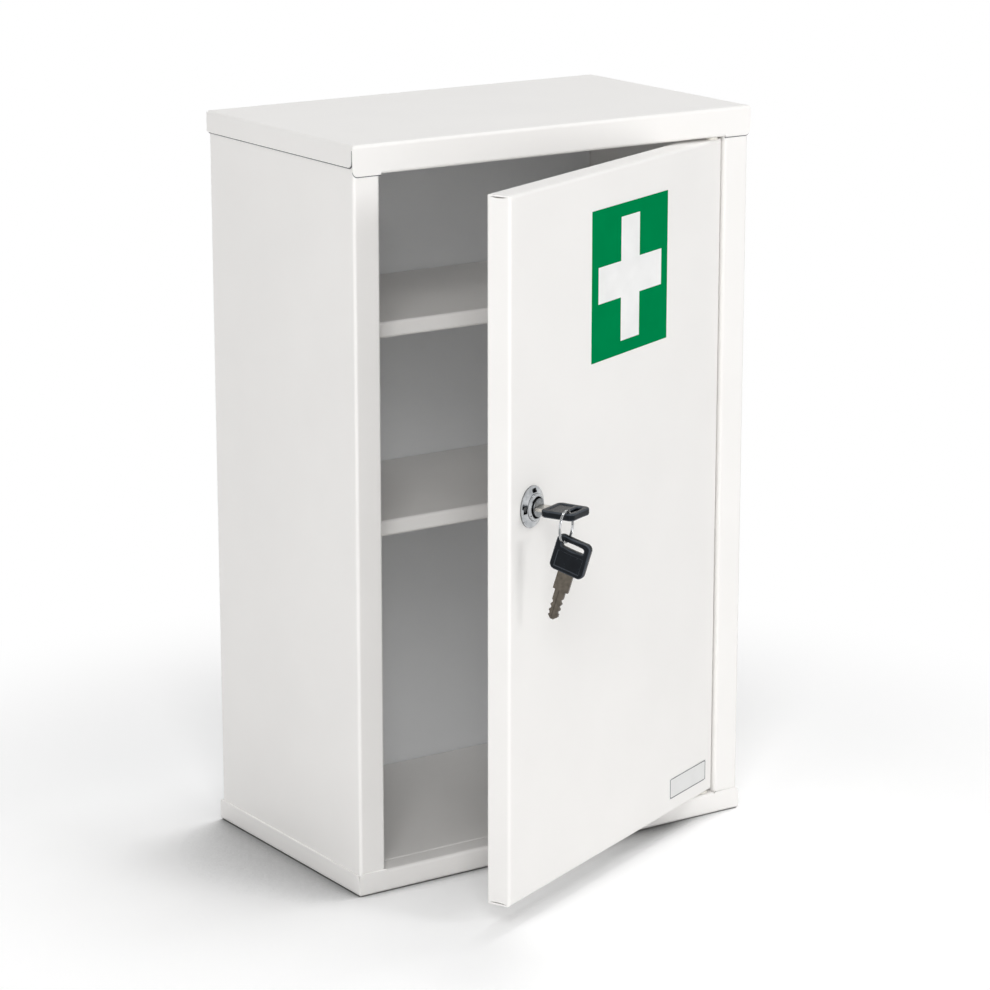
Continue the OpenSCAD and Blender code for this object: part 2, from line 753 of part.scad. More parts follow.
module blade() {
    tip = 2.4;
    groove = 1.4;
    groove_d = 0.4;
    hollow_r = 1.5;
    end = -shoulder_l - blade_l;
    cuts = floor((blade_l - tip - 2) / cut_pitch);
    tang();
    difference() {
        translate([0, 0, -blade_t / 2]) linear_extrude(blade_t) difference() {
            union() {
                translate([-shoulder_l, -shoulder_w / 2]) square([shoulder_l, shoulder_w]);
                polygon([[-shoulder_l, blade_w / 2], [end + tip, blade_w / 2], [end, 0.8], [end, -0.8],
                    [end + tip, -blade_w / 2], [-shoulder_l, -blade_w / 2]]);
            }
            for (i = [0:cuts - 1], s = [-1, 1]) {
                x = end + tip + 1 + (i + (s > 0 ? 0.5 : 0)) * cut_pitch;
                translate([x, s * (blade_w / 2 + hollow_r - cut_depth)]) circle(hollow_r);
            }
        }
        for (s = [-1, 1]) translate([end - 1, -groove / 2, s * (blade_t / 2) - groove_d])
            cube([blade_l + 1, groove, 2 * groove_d]);
    }
}

module at_key() {
    at_door() translate([lock_x, front - bow_stand, lock_z]) rotate([0, 0, -90]) children();
}

module key_bow() {
    color("#1c1f24") at_key() bow();
}

module key_blade() {
    color(steel_grey) at_key() blade();
}

// Puts what is drawn about the ring's middle, in the XY plane, where the ring hangs
module at_ring() {
    at_door() translate([ring_x, front - bar_stand, lock_z - ring_drop]) rotate([0, 0, ring_yaw]) children();
}

module key_ring() {
    color(chrome) at_ring() rotate([90, 0, 0]) rotate_extrude() for (s = [-1, 1])
        translate([ring_r, s * (ring_axial - wire_d) / 2]) circle(wire_d / 2);
}

module at_spare() {
    at_ring() translate([0, 0, -ring_r]) rotate([0, 0, 180]) rotate([0, -90, 0])
        rotate([0, 0, spare_tilt]) translate([-wire_a, -wire_b, 0]) children();
}

module spare_key_bow() {
    color("#1c1f24") at_spare() bow();
}

module spare_key_blade() {
    color(steel_grey) at_spare() blade();
}

left_side_panel();
right_side_panel();
back_panel();
lid_pan();
base_pan();
floor_panel();
upper_shelf();
lower_shelf();
upper_hinge_pin();
lower_hinge_pin();
door_bumpers();
door_pan();
door_stiffener();
upper_hinge_washer();
lower_hinge_washer();
sign_panel();
sign_cross();
blank_label();
lock_housing();
lock_washer();
lock_nut();
lock_plug();
lock_wafers();
lock_cam();
cam_screw();
key_bow();
key_blade();
key_ring();
spare_key_bow();
spare_key_blade();
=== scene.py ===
"""Lockable medicine cabinet: the finish of its sheet steel, its keys and split ring, and a studio."""

import json
import math

import bpy
import numpy as np
from bpy.props import FloatProperty, FloatVectorProperty, PointerProperty
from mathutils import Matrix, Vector


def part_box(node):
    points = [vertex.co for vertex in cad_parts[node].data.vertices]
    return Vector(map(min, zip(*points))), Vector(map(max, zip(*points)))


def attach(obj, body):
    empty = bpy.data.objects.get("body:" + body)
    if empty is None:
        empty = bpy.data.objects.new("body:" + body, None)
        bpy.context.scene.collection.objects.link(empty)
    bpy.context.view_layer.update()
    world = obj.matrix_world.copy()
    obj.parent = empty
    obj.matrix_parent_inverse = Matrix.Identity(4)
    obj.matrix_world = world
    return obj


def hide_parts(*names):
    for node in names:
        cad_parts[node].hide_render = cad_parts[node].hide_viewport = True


bl_info = {
    "name": "Lockable medicine cabinet",
    "version": (1, 0, 0),
    "blender": (4, 5, 0),
    "location": "3D View > Sidebar > Cabinet",
    "description": "Finishes a folded sheet-steel medicine cabinet with its lock, keys and sign",
    "category": "Object",
}

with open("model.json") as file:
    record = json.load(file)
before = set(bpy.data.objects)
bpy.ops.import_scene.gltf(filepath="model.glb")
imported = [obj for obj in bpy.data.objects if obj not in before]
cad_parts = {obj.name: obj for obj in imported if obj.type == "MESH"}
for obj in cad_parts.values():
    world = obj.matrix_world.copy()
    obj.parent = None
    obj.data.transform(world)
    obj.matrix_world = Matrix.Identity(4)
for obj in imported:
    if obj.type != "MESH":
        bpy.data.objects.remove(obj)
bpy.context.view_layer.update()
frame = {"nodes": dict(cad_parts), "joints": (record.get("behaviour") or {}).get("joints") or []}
NODES = frame["nodes"]
JOINTS = {joint["name"]: joint for joint in frame["joints"]}
MM = 0.001


# ---------------------------------------------------------------- sizes and colours


class CabinetFinish(bpy.types.PropertyGroup):
    """The colours and textures of the cabinet's finishes."""

    coat: FloatVectorProperty(
        name="Powder coat", description="Colour of the powder coat", subtype="COLOR",
        default=(0.92, 0.905, 0.885),
    )
    # painted shade: a cooler copy of the coat's white, standing in for the cool shade inside the cabinet
    back: FloatVectorProperty(
        name="Back coat", description="Cooler white of the back panel", subtype="COLOR",
        default=(0.872, 0.884, 0.896),
    )
    peel: FloatProperty(
        name="Orange peel", description="Spacing of the coat's orange peel", unit="LENGTH",
        default=1.6 * MM,
    )
    green: FloatVectorProperty(
        name="Sign green", description="Green of the first-aid sign", subtype="COLOR",
        default=(0.0, 0.235, 0.072),
    )


class KeySizes(bpy.types.PropertyGroup):
    """Sizes of the keys' plastic bows and of the split ring."""

    edge: FloatProperty(
        name="Bow rounding", description="Radius of the bow's rounded edges", unit="LENGTH",
        default=1.1 * MM,
    )
    recess: FloatProperty(
        name="Recess depth", description="Depth of the panel in the bow's faces", unit="LENGTH",
        default=0.6 * MM,
    )
    wire: FloatProperty(
        name="Ring wire", description="Thickness of one turn of the split ring", unit="LENGTH",
        default=0.8 * MM,
    )


class StudioSettings(bpy.types.PropertyGroup):
    """The camera and the lamps."""

    azimuth: FloatProperty(
        name="Azimuth", description="Camera's turn about the cabinet", subtype="ANGLE",
        default=math.radians(-34.04),
    )
    elevation: FloatProperty(
        name="Elevation", description="Camera's height angle", subtype="ANGLE",
        default=math.radians(14.64),
    )
    distance: FloatProperty(
        name="Distance", description="Camera's distance from its target", unit="LENGTH", default=2.157
    )
    focal: FloatProperty(
        name="Focal length", description="Camera's focal length in millimetres", default=127.9
    )
    key: FloatProperty(
        name="Key lamp", description="Power of the lamp above the camera, in watts", default=19.5
    )
    fill: FloatProperty(
        name="Fill lamp", description="Power of the lamp beside the camera, in watts", default=13.0
    )
    left: FloatProperty(
        name="Left lamp", description="Power of the lamp at the left, in watts", default=10.0
    )
    right: FloatProperty(
        name="Right lamp", description="Power of the lamp in front of the door, in watts", default=15.2
    )
    top: FloatProperty(
        name="Top lamp", description="Power of the lamp overhead, in watts", default=13.5
    )
    ambient: FloatProperty(
        name="Ambient", description="Strength of the light from all round", default=0.2
    )


# ---------------------------------------------------------------- materials


def linear(code):
    """The linear colour of an sRGB hex code."""
    channels = [int(code[i : i + 2], 16) / 255 for i in (1, 3, 5)]
    return [c / 12.92 if c <= 0.04045 else ((c + 0.055) / 1.055) ** 2.4 for c in channels] + [1.0]


def add_node(tree, kind, settings=None, links=None):
    """Adds a node, gives it its attributes or socket values, and links its inputs."""
    node = tree.nodes.new(kind)
    for name, value in (settings or {}).items():
        if isinstance(name, int) or (name in node.inputs and not hasattr(type(node), name)):
            node.inputs[name].default_value = value
        else:
            setattr(node, name, value)
    for name, source in (links or {}).items():
        tree.links.new(source, node.inputs[name])
    return node


def new_material(name, **settings):
    """An empty material with a Principled shader whose even values are set on its own sockets."""
    material = bpy.data.materials.new(name)
    material.use_nodes = True
    tree = material.node_tree
    shader = tree.nodes["Principled BSDF"]
    for socket, value in settings.items():
        shader.inputs[socket.replace("_", " ")].default_value = value
    return material, tree, shader


def ramp_of(tree, source, low, high, start=0.3, end=0.7):
    """A colour ramp from one colour to another over a stretch of a pattern's value."""
    ramp = add_node(tree, "ShaderNodeValToRGB", links={"Fac": source})
    for element, place, colour in zip(ramp.color_ramp.elements, (start, end), (low, high)):
        element.position = place
        element.color = colour
    return ramp.outputs["Color"]


def multiplied(tree, first, second):
    """The product of two colours."""
    product = {"data_type": "RGBA", "blend_type": "MULTIPLY", 0: 1.0}
    return add_node(tree, "ShaderNodeMix", product, {6: first, 7: second}).outputs[2]


def grey(value):
    """A grey as a linear colour."""
    return (value, value, value, 1.0)


def coordinates(tree):
    """The object's own coordinates, which stay on a piece as it moves."""
    return add_node(tree, "ShaderNodeTexCoord").outputs["Object"]


def noise(tree, place, spacing, detail=2.0, stretch=(1.0, 1.0, 1.0)):
    """Noise whose patches are about as far apart as spacing, in metres, stretched along an axis."""
    mapping = add_node(tree, "ShaderNodeMapping", {"Scale": stretch}, {"Vector": place})
    texture = add_node(
        tree, "ShaderNodeTexNoise", {"Scale": 1.0 / spacing, "Detail": detail}, {"Vector": mapping.outputs[0]}
    )
    return texture.outputs["Fac"]


def roughness_from(tree, shader, source, low, high):
    """Varies the shader's roughness between two values with a pattern."""
    spread = add_node(tree, "ShaderNodeMapRange", {"To Min": low, "To Max": high}, {"Value": source})
    tree.links.new(spread.outputs[0], shader.inputs["Roughness"])


def bump_from(tree, shader, source, height, strength=1.0):
    """Raises the surface by a pattern, by a height in metres."""
    bump = add_node(tree, "ShaderNodeBump", {"Strength": strength, "Distance": height}, {"Height": source})
    tree.links.new(bump.outputs[0], shader.inputs["Normal"])


def shaded(colour, factor):
    """A linear colour made lighter or darker by a factor."""
    return [min(1.0, c * factor) for c in colour[:3]] + [1.0]


def powder_coat(name, colour):
    """Baked powder coat on sheet steel: a soft satin sheen over a very fine orange peel."""
    peel_spacing = bpy.context.scene.cabinet_finish.peel
    material, tree, shader = new_material(name, IOR=1.5)
    place = coordinates(tree)
    cloud = noise(tree, place, 70 * MM)
    peel = noise(tree, place, peel_spacing, detail=1.0)
    tint = ramp_of(tree, cloud, shaded(colour, 0.985), shaded(colour, 1.01))
    tree.links.new(tint, shader.inputs["Base Color"])
    roughness_from(tree, shader, cloud, 0.36, 0.43)
    bump_from(tree, shader, peel, 0.02 * MM, 0.5)
    return material


def plated_steel(name, code, spacing, rough):
    """Zinc or nickel plated steel: grey metal with fine streaks from its rolling and grinding."""
    material, tree, shader = new_material(name, Metallic=1.0)
    place = coordinates(tree)
    streaks = noise(tree, place, spacing, detail=4.0, stretch=(1.0, 1.0, 0.12))
    stains = noise(tree, place, 3 * MM, detail=3.0)
    colour = linear(code)
    tint = ramp_of(tree, stains, shaded(colour, 0.72), shaded(colour, 1.15))
    tree.links.new(tint, shader.inputs["Base Color"])
    roughness_from(tree, shader, streaks, rough - 0.08, rough + 0.12)
    bump_from(tree, shader, streaks, 0.02 * MM, 0.4)
    return material


def chrome_plate(name, low="#a3a6a9", high="#c3c5c7"):
    """Bright chrome over die-cast zinc: a faintly smeared mirror, with painted shade darkening its steps and
    recesses.
    """
    material, tree, shader = new_material(name, Metallic=1.0)
    smears = noise(tree, coordinates(tree), 4 * MM, detail=3.0)
    tint = ramp_of(tree, smears, linear(low), linear(high))
    # painted shade: ambient occlusion darkens the chrome's colour in its steps and recesses
    recess = add_node(tree, "ShaderNodeAmbientOcclusion", {"Distance": 2.4 * MM, "samples": 8})
    painted_recess_shade = ramp_of(tree, recess.outputs["AO"], grey(0.02), grey(1.0), 0.38, 0.86)
    tree.links.new(multiplied(tree, tint, painted_recess_shade), shader.inputs["Base Color"])
    roughness_from(tree, shader, smears, 0.06, 0.16)
    return material


def moulded_abs(name, code):
    """Black moulded ABS: a satin plastic with a fine grain, and a painted highlight that makes its rounded
    edges and the panel's step paler.
    """
    material, tree, shader = new_material(name, IOR=1.53, Specular_IOR_Level=0.13)
    place = coordinates(tree)
    grain = noise(tree, place, 0.35 * MM, detail=2.0)
    wear_and_highlight = noise(tree, place, 5 * MM, detail=2.0)
    tint = ramp_of(tree, wear_and_highlight, linear(code), shaded(linear(code), 1.5))
    # painted highlight: a value stored on each point of the bow makes its rounded edges and panel step paler
    painted_highlight = add_node(tree, "ShaderNodeAttribute", {"attribute_name": "painted_highlight"})
    paler = {"data_type": "RGBA", 7: linear("#4a5058")}
    edges = add_node(tree, "ShaderNodeMix", paler, {0: painted_highlight.outputs["Fac"], 6: tint})
    tree.links.new(edges.outputs[2], shader.inputs["Base Color"])
    roughness_from(tree, shader, wear_and_highlight, 0.2, 0.32)
    bump_from(tree, shader, grain, 0.02 * MM, 0.6)
    return material


def vinyl_film(name, colour, metallic=0.0, rough=0.32):
    """Printed self-adhesive vinyl: an even ink under a thin satin film with a slight ripple."""
    material, tree, shader = new_material(name, IOR=1.48, Metallic=metallic, Specular_IOR_Level=0.0)
    place = coordinates(tree)
    ink = noise(tree, place, 18 * MM, detail=3.0)
    ripple = noise(tree, place, 9 * MM, detail=1.0)
    tint = ramp_of(tree, ink, shaded(colour, 0.96), shaded(colour, 1.04))
    tree.links.new(tint, shader.inputs["Base Color"])
    roughness_from(tree, shader, ink, rough - 0.04, rough + 0.06)
    bump_from(tree, shader, ripple, 0.03 * MM, 0.4)
    return material


def stamped_brass(name):
    """Stamped brass: warm yellow metal with a rolled grain, gone a little brown."""
    return plated_steel(name, "#c6a352", 0.4 * MM, 0.34)


def dull_polymer(name, code, rough):
    """Rubber or nylon: a dull, faintly speckled polymer with a soft bloom."""
    material, tree, shader = new_material(name, IOR=1.5)
    speckle = noise(tree, coordinates(tree), 0.8 * MM, detail=3.0)
    tint = ramp_of(tree, speckle, shaded(linear(code), 0.85), shaded(linear(code), 1.1))
    tree.links.new(tint, shader.inputs["Base Color"])
    roughness_from(tree, shader, speckle, rough - 0.06, rough + 0.06)
    bump_from(tree, shader, speckle, 0.02 * MM, 0.5)
    return material


# ---------------------------------------------------------------- surfaces


def grid_piece(name, points, wrap_u=True, wrap_v=True):
    """A mesh from a grid of points, rows along u and columns along v, closed round u or v if asked.

    Each quad joins the points (i, j), (i + 1, j), (i + 1, j + 1) and (i, j + 1), modulo the closed sides.
    """
    rows, columns = points.shape[:2]
    i = np.arange(rows if wrap_u else rows - 1)[:, None]
    j = np.arange(columns if wrap_v else columns - 1)[None, :]
    i2, j2 = (i + 1) % rows, (j + 1) % columns
    first, second = i * columns + j, i2 * columns + j
    third, fourth = i2 * columns + j2, i * columns + j2
    quads = np.stack(np.broadcast_arrays(first, second, third, fourth), -1)
    mesh = bpy.data.meshes.new(name)
    mesh.from_pydata(points.reshape(-1, 3).tolist(), [], quads.reshape(-1, 4).tolist())
    mesh.polygons.foreach_set("use_smooth", np.ones(len(mesh.polygons), bool))
    mesh.update()
    piece = bpy.data.objects.new(name, mesh)
    bpy.context.scene.collection.objects.link(piece)
    return piece


def add_caps(piece, rows, columns):
    """Closes both open ends of a tube whose grid has rows along it and columns round it."""
    mesh = piece.data
    vertices = np.empty(len(mesh.vertices) * 3)
    mesh.vertices.foreach_get("co", vertices)
    faces = [list(p.vertices) for p in mesh.polygons]
    faces.append(list(range(columns))[::-1])
    faces.append([(rows - 1) * columns + k for k in range(columns)])
    mesh.clear_geometry()
    mesh.from_pydata(vertices.reshape(-1, 3).tolist(), [], faces)
    mesh.polygons.foreach_set("use_smooth", np.ones(len(mesh.polygons), bool))
    mesh.update()


def rounded_outline(angle, half_a, half_b, corner):
    """Points of a rounded rectangle seen from its middle at each angle.

    The distance to the straight sides is the smaller of half_a / |cos| and half_b / |sin|. Beyond the start
    of a corner, the ray meets the corner's circle instead: with c the circle's centre and d the ray's
    direction, the distance is d.c + sqrt((d.c)^2 - c.c + corner^2).
    """
    d = np.stack([np.cos(angle), np.sin(angle)], -1)
    flat = np.minimum(half_a / np.maximum(abs(d[:, 0]), 1e-9), half_b / np.maximum(abs(d[:, 1]), 1e-9))
    c = np.sign(d) * [half_a - corner, half_b - corner]
    along = (d * c).sum(-1)
    inside = along**2 - (c * c).sum(-1) + corner**2
    arc = along + np.sqrt(np.maximum(inside, 0))
    met = abs(d * flat[:, None])
    on_corner = (met[:, 0] > half_a - corner) & (met[:, 1] > half_b - corner)
    return d * np.where(on_corner, arc, flat)[:, None]


class KeyFrame:
    """Where a key lies: the middle of its bow's blade side, and its length, width and face directions."""

    def __init__(self, base, along, across):
        self.base, self.along, self.across = np.array(base), np.array(along), np.array(across)
        self.face = np.cross(self.along, self.across)

    def place(self, a, b, c):
        """World points of bow coordinates: a towards its end, b across it and c out of its face."""
        return self.base + a[..., None] * self.along + b[..., None] * self.across + c[..., None] * self.face


# a key's bow in its own coordinates: a from its blade side to its end, b across it
BOW_W = 22 * MM
BOW_T = 4.4 * MM
BOW_CORNER = 3.5 * MM
BOW_INSET = 0.08 * MM  # how far the moulded corners stay inside the solid's
SLOT_L = 14 * MM
SLOT_W = 3.8 * MM
SLOT_A = 16.9 * MM  # the slot's middle
SLOT_CORNER = 1.7 * MM
PANEL_START, PANEL_END = 2.4 * MM, 12.6 * MM  # the recessed panel, along a
PANEL_HALF = 8.2 * MM  # half its width, along b
PANEL_STEP = 0.42 * MM  # how wide its sloping edge is
WIRE_A, WIRE_B = 17.8 * MM, -5.4 * MM  # where the ring's wire passes the spare key's slot


def bow_surface(key, edge, recess, around=320, across=130):
    """The bow as one closed surface with a slot through it.

    Round the bow, u follows rays from the slot's middle, and gives an outer point O and a slot point S.
    v runs over the section: from the outer side over the top face to the slot and back below. The section is
    a rounded rectangle between S and O, so a point is S + (O - S) * s, at height c, where s and c follow that
    rounded rectangle. The recessed panel lowers c by a smooth step 3 t^2 - 2 t^3 round a rectangle near the
    blade. Each point also gets a painted highlight: most on the rounded edges and the step.
    """
    u = np.linspace(0, 2 * np.pi, around, endpoint=False)
    middle = BOW_W / 2 - SLOT_A
    slot = rounded_outline(u, SLOT_W / 2, SLOT_L / 2, SLOT_CORNER)
    # the outer outline, seen from the slot's middle: step along each ray until the rounded square is met
    reach = np.linspace(0.0, BOW_W, 1400)
    rays = np.stack([np.cos(u), np.sin(u)], -1)
    samples = rays[:, None, :] * reach[None, :, None] - [middle, 0.0]
    beyond = np.maximum(abs(samples) - (BOW_W / 2 - BOW_CORNER), 0)
    inside = np.hypot(beyond[..., 0], beyond[..., 1]) <= BOW_CORNER - BOW_INSET
    outer = rays * (reach[inside.sum(1) - 1])[:, None]
    # the section: a rounded rectangle of length gap and half height BOW_T / 2, by a walk of its sides
    quarter = np.linspace(0, np.pi / 2, 7)
    turn = quarter[:-1]
    flat = across // 2 - 2 * len(turn)
    gap = np.linalg.norm(outer - slot, axis=1)[:, None]
    e = np.minimum(edge, gap * 0.45)
    outer_round = [(gap - e + e * np.cos(t), BOW_T / 2 - e + e * np.sin(t)) for t in turn]
    top = [(gap - e - (gap - 2 * e) * s, np.full_like(gap, BOW_T / 2)) for s in np.linspace(0, 1, flat)]
    slot_round = [(e - e * np.sin(t), BOW_T / 2 - e + e * np.cos(t)) for t in quarter[1:]]
    upper = outer_round + top + slot_round
    lower = [(x, -z) for x, z in upper[::-1]]
    distance = np.concatenate([x for x, _ in upper + lower], 1)
    height = np.concatenate([z * np.ones_like(gap) for _, z in upper + lower], 1)
    ray = (outer - slot) / gap
    a = SLOT_A + slot[:, 0:1] + ray[:, 0:1] * distance
    b = slot[:, 1:2] + ray[:, 1:2] * distance

    def step(x):
        t = np.clip(x / PANEL_STEP, 0, 1)
        return t * t * (3 - 2 * t)

    mask = step(a - PANEL_START) * step(PANEL_END - a) * step(PANEL_HALF - abs(b))
    height = height - np.sign(height) * recess * mask
    # painted highlight: highest on the rounded edges and on the panel's step
    bend = np.sin(2 * turn)
    half = np.concatenate([bend, np.zeros(flat), bend[::-1]])
    painted_highlight = np.maximum(np.concatenate([half, half[::-1]])[None, :] * 0.7, 4 * mask * (1 - mask))
    return key.place(a, b, height), painted_highlight


def key_frames():
    """The two keys' places, from the lock's axis, the spare key's hinge and the bows' own boxes."""
    outward = np.array(JOINTS["lock_turn"]["axis"])
    sideways = np.array([-outward[1], outward[0], 0.0])
    low, high = (np.array(v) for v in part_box("key_bow"))
    lock = np.array(JOINTS["lock_turn"]["pos_m"])
    middle = (low + high) / 2
    base = lock + outward * ((middle - lock).dot(outward) - BOW_W / 2)
    pushed_in = KeyFrame(base, outward, sideways)
    # the spare key's length runs from its blade's tip to its bow, in the plane square to its hinge
    hinge = JOINTS["spare_key_swing"]
    wire, normal = np.array(hinge["pos_m"]), np.array(hinge["axis"])
    low, high = (np.array(v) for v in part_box("spare_key_bow"))
    centre = (low + high) / 2
    from_wire = centre - wire
    offset = np.array([BOW_W / 2 - WIRE_A, -WIRE_B])
    level = np.array([-normal[1], normal[0], 0.0])
    here = np.array([from_wire[2], -from_wire.dot(level)])
    tilt = math.atan2(here[1], here[0]) - math.atan2(offset[1], offset[0])
    along = np.array([0.0, 0.0, 1.0]) * math.cos(tilt) - level * math.sin(tilt)
    across = np.cross(normal, along)
    hung = KeyFrame(centre - along * BOW_W / 2, along, across)
    return pushed_in, hung


def ring_surface(centre, normal, start, radius, wire, pitch, steps=260, around=20):
    """The split ring: a wire wound through almost two full turns.

    Along the wire, the angle runs over its turns, and the wire climbs by one pitch along the ring's normal in
    a short smooth stretch, as a split ring does. Round the wire, a superellipse gives its squarish section.
    """
    turns, squareness = 1.96, 0.7
    climb_start, climb_length = 0.46, 0.08
    t = np.linspace(0, 1, steps)
    angle = t * turns * 2 * np.pi
    climb = np.clip((t - climb_start) / climb_length, 0, 1)
    climb = climb * climb * (3 - 2 * climb)
    first = np.array(start) / np.linalg.norm(start)
    second = np.cross(normal, first)
    out = np.cos(angle)[:, None] * first + np.sin(angle)[:, None] * second
    line = centre + out * radius + (climb - 0.5)[:, None] * pitch * normal
    v = np.linspace(0, 2 * np.pi, around, endpoint=False)
    half_r, half_n = wire * 0.62, wire * 0.48
    x = half_r * np.sign(np.cos(v)) * abs(np.cos(v)) ** squareness
    y = half_n * np.sign(np.sin(v)) * abs(np.sin(v)) ** squareness
    sideways = np.array(normal)[None, None, :] * y[None, :, None]
    return line[:, None, :] + out[:, None, :] * x[None, :, None] + sideways


def side_name(side):
    """The name of the side at negative or positive X."""
    return "left" if side < 0 else "right"


# the sheet steel, and the heights of the lid's and base's flanges
SHEET = 1 * MM
RELIEF = 0.8 * MM  # gap between a side flange and the front flange
CORNER = 3.5 * MM
LID_FRONT, LID_SIDE = 18 * MM, 13 * MM
BASE_FRONT, BASE_SIDE = 14 * MM, 13 * MM
HEM_END = 125.7 * MM  # end of the front flange's hem, from the middle
FLANGE_END_TOP = 3.2 * MM  # where a flange's free end starts, from the outer face
BACK_END = 2 * MM  # how far the side flange's edge stops before the back
SHADE_STRIP_OUT = 0.6 * MM  # how far a painted shade strip lies beyond its flange's edge
SHADE_STRIP_R = 0.4 * MM
SHADE_STRIP_IN_GAP, SHADE_STRIP_UNDER = 0.42 * MM, 0.62 * MM  # a painted shade strip's depth from the side, in the gap and below


def flange_paths(cap, up, side, out):
    """The free edges of the lid's or base's flanges on one side, moved out of the sheet by a distance.

    Each path runs down the flange's end, round its corner as a quarter ellipse and along its edge: the points
    are centre + (a cos t, b sin t) for t over a quarter turn.
    """
    low, high = (np.array(v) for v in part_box("base_pan" if cap == "base" else "lid_pan"))
    outer = low[2] if up > 0 else high[2]
    front_h, side_h = (BASE_FRONT, BASE_SIDE) if cap == "base" else (LID_FRONT, LID_SIDE)
    t = np.linspace(0, np.pi / 2, 14)
    x_wall = side * (high[0] - SHEET / 2)
    # the side flange: its front end stands a relief gap behind the front flange
    end = low[1] + SHEET + RELIEF + (-RELIEF / 2 if out else SHEET / 2)
    z = outer + up * (side_h + out)
    arc_y = end + CORNER - CORNER * np.cos(t)
    arc_z = z - up * CORNER + up * CORNER * np.sin(t)
    ys = np.concatenate([[end], arc_y, [high[1] - BACK_END]])
    zs = np.concatenate([[outer + up * FLANGE_END_TOP], arc_z, [z]])
    xs = np.full_like(ys, x_wall)
    if out:
        # a painted shade strip eases from its depth in the gap to its depth below the flange as it rounds the
        # corner
        depth = np.interp(np.arange(len(ys)), [0, 9, 15], [SHADE_STRIP_IN_GAP, SHADE_STRIP_IN_GAP, SHADE_STRIP_UNDER])
        xs = side * (high[0] - depth)
    side_path = np.stack([xs, ys, zs], -1)
    # the front flange, from its outer end to where its hem begins
    y_wall = low[1] + (SHEET * 0.75 if out else SHEET / 2)
    x_end = high[0] - SHEET / 2
    z = outer + up * (front_h + out)
    arc_x = x_end - (CORNER - SHEET / 2) * (1 - np.cos(t))
    arc_z = z - up * CORNER + up * CORNER * np.sin(t)
    xs = side * np.concatenate([[x_end], arc_x, [HEM_END]])
    zs = np.concatenate([[outer + up * FLANGE_END_TOP], arc_z, [z]])
    front_path = np.stack([xs, np.full_like(xs, y_wall), zs], -1)
    return {"side": side_path, "front": front_path}


def round_strip(name, path, radius, material, around=12):
    """A round strip along a path: at each point a circle square to the path's direction.

    The direction is the difference of the neighbouring points. The circle's two axes are the unit vector
    square to the plane that the path lies in, and its cross product with the direction.
    """
    direction = np.gradient(path, axis=0)
    direction /= np.linalg.norm(direction, axis=1)[:, None]
    span = path.max(0) - path.min(0)
    flat = np.eye(3)[int(np.argmin(span))]
    second = np.cross(direction, flat)
    v = np.linspace(0, 2 * np.pi, around, endpoint=False)
    circle = np.cos(v)[None, :, None] * flat + np.sin(v)[None, :, None] * second[:, None, :]
    points = path[:, None, :] + radius * circle
    strip = grid_piece(name, points, wrap_u=False)
    add_caps(strip, *points.shape[:2])
    strip.data.materials.append(material)
    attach(strip, "cabinet")
    return strip


# ---------------------------------------------------------------- operators


def finish_nodes(material, *names):
    """Gives one material to CAD nodes, whose meshes stay as they are."""
    for name in names:
        mesh = NODES[name].data
        mesh.materials.clear()
        mesh.materials.append(material)


class FinishShell(bpy.types.Operator):
    """Powder-coats the cabinet's shell and its shelves"""

    bl_idname = "cabinet.finish_shell"
    bl_label = "Shell"

    def execute(self, context):
        finish = context.scene.cabinet_finish
        coat = powder_coat("white_powder_coat", list(finish.coat) + [1.0])
        finish_nodes(coat, "left_side_panel", "right_side_panel", "lid_pan", "base_pan")
        finish_nodes(coat, "upper_shelf", "lower_shelf", "floor_panel")
        # painted shade: the back panel gets a cooler copy of the coat for the shaded inside of the cabinet
        finish_nodes(powder_coat("back_coat_painted_shade", list(finish.back) + [1.0]), "back_panel")
        return {"FINISHED"}


class FinishDoor(bpy.types.Operator):
    """Powder-coats the door and gives its sign, label and hinge parts their finish"""

    bl_idname = "cabinet.finish_door"
    bl_label = "Door"

    def execute(self, context):
        finish = context.scene.cabinet_finish
        coat = powder_coat("door_powder_coat", list(finish.coat) + [1.0])
        finish_nodes(coat, "door_pan", "door_stiffener")
        finish_nodes(vinyl_film("green_vinyl", list(finish.green) + [1.0]), "sign_panel")
        finish_nodes(vinyl_film("white_vinyl", linear("#f6f6f5")), "sign_cross")
        silver = vinyl_film("silver_vinyl", linear("#e9e9e8"), metallic=0.1, rough=0.3)
        finish_nodes(silver, "blank_label")
        zinc = plated_steel("zinc_plated_steel", "#c3c6c9", 0.6 * MM, 0.34)
        finish_nodes(zinc, "upper_hinge_pin", "lower_hinge_pin")
        finish_nodes(dull_polymer("nylon", "#e6e3db", 0.5), "upper_hinge_washer", "lower_hinge_washer")
        finish_nodes(dull_polymer("rubber", "#3a3c3f", 0.7), "door_bumpers")
        return {"FINISHED"}


class FinishLock(bpy.types.Operator):
    """Gives the lock's face, barrel, cam and screw their metals"""

    bl_idname = "cabinet.finish_lock"
    bl_label = "Lock"

    def execute(self, context):
        finish_nodes(chrome_plate("chrome_plate"), "lock_housing")
        finish_nodes(plated_steel("plug_plate", "#8d9092", 0.5 * MM, 0.24), "lock_plug")
        zinc = plated_steel("lock_zinc", "#b9bcbf", 0.5 * MM, 0.36)
        finish_nodes(zinc, "lock_washer", "lock_nut", "lock_cam")
        finish_nodes(plated_steel("screw_zinc", "#a9acb0", 0.4 * MM, 0.32), "cam_screw")
        finish_nodes(stamped_brass("stamped_brass"), "lock_wafers")
        return {"FINISHED"}


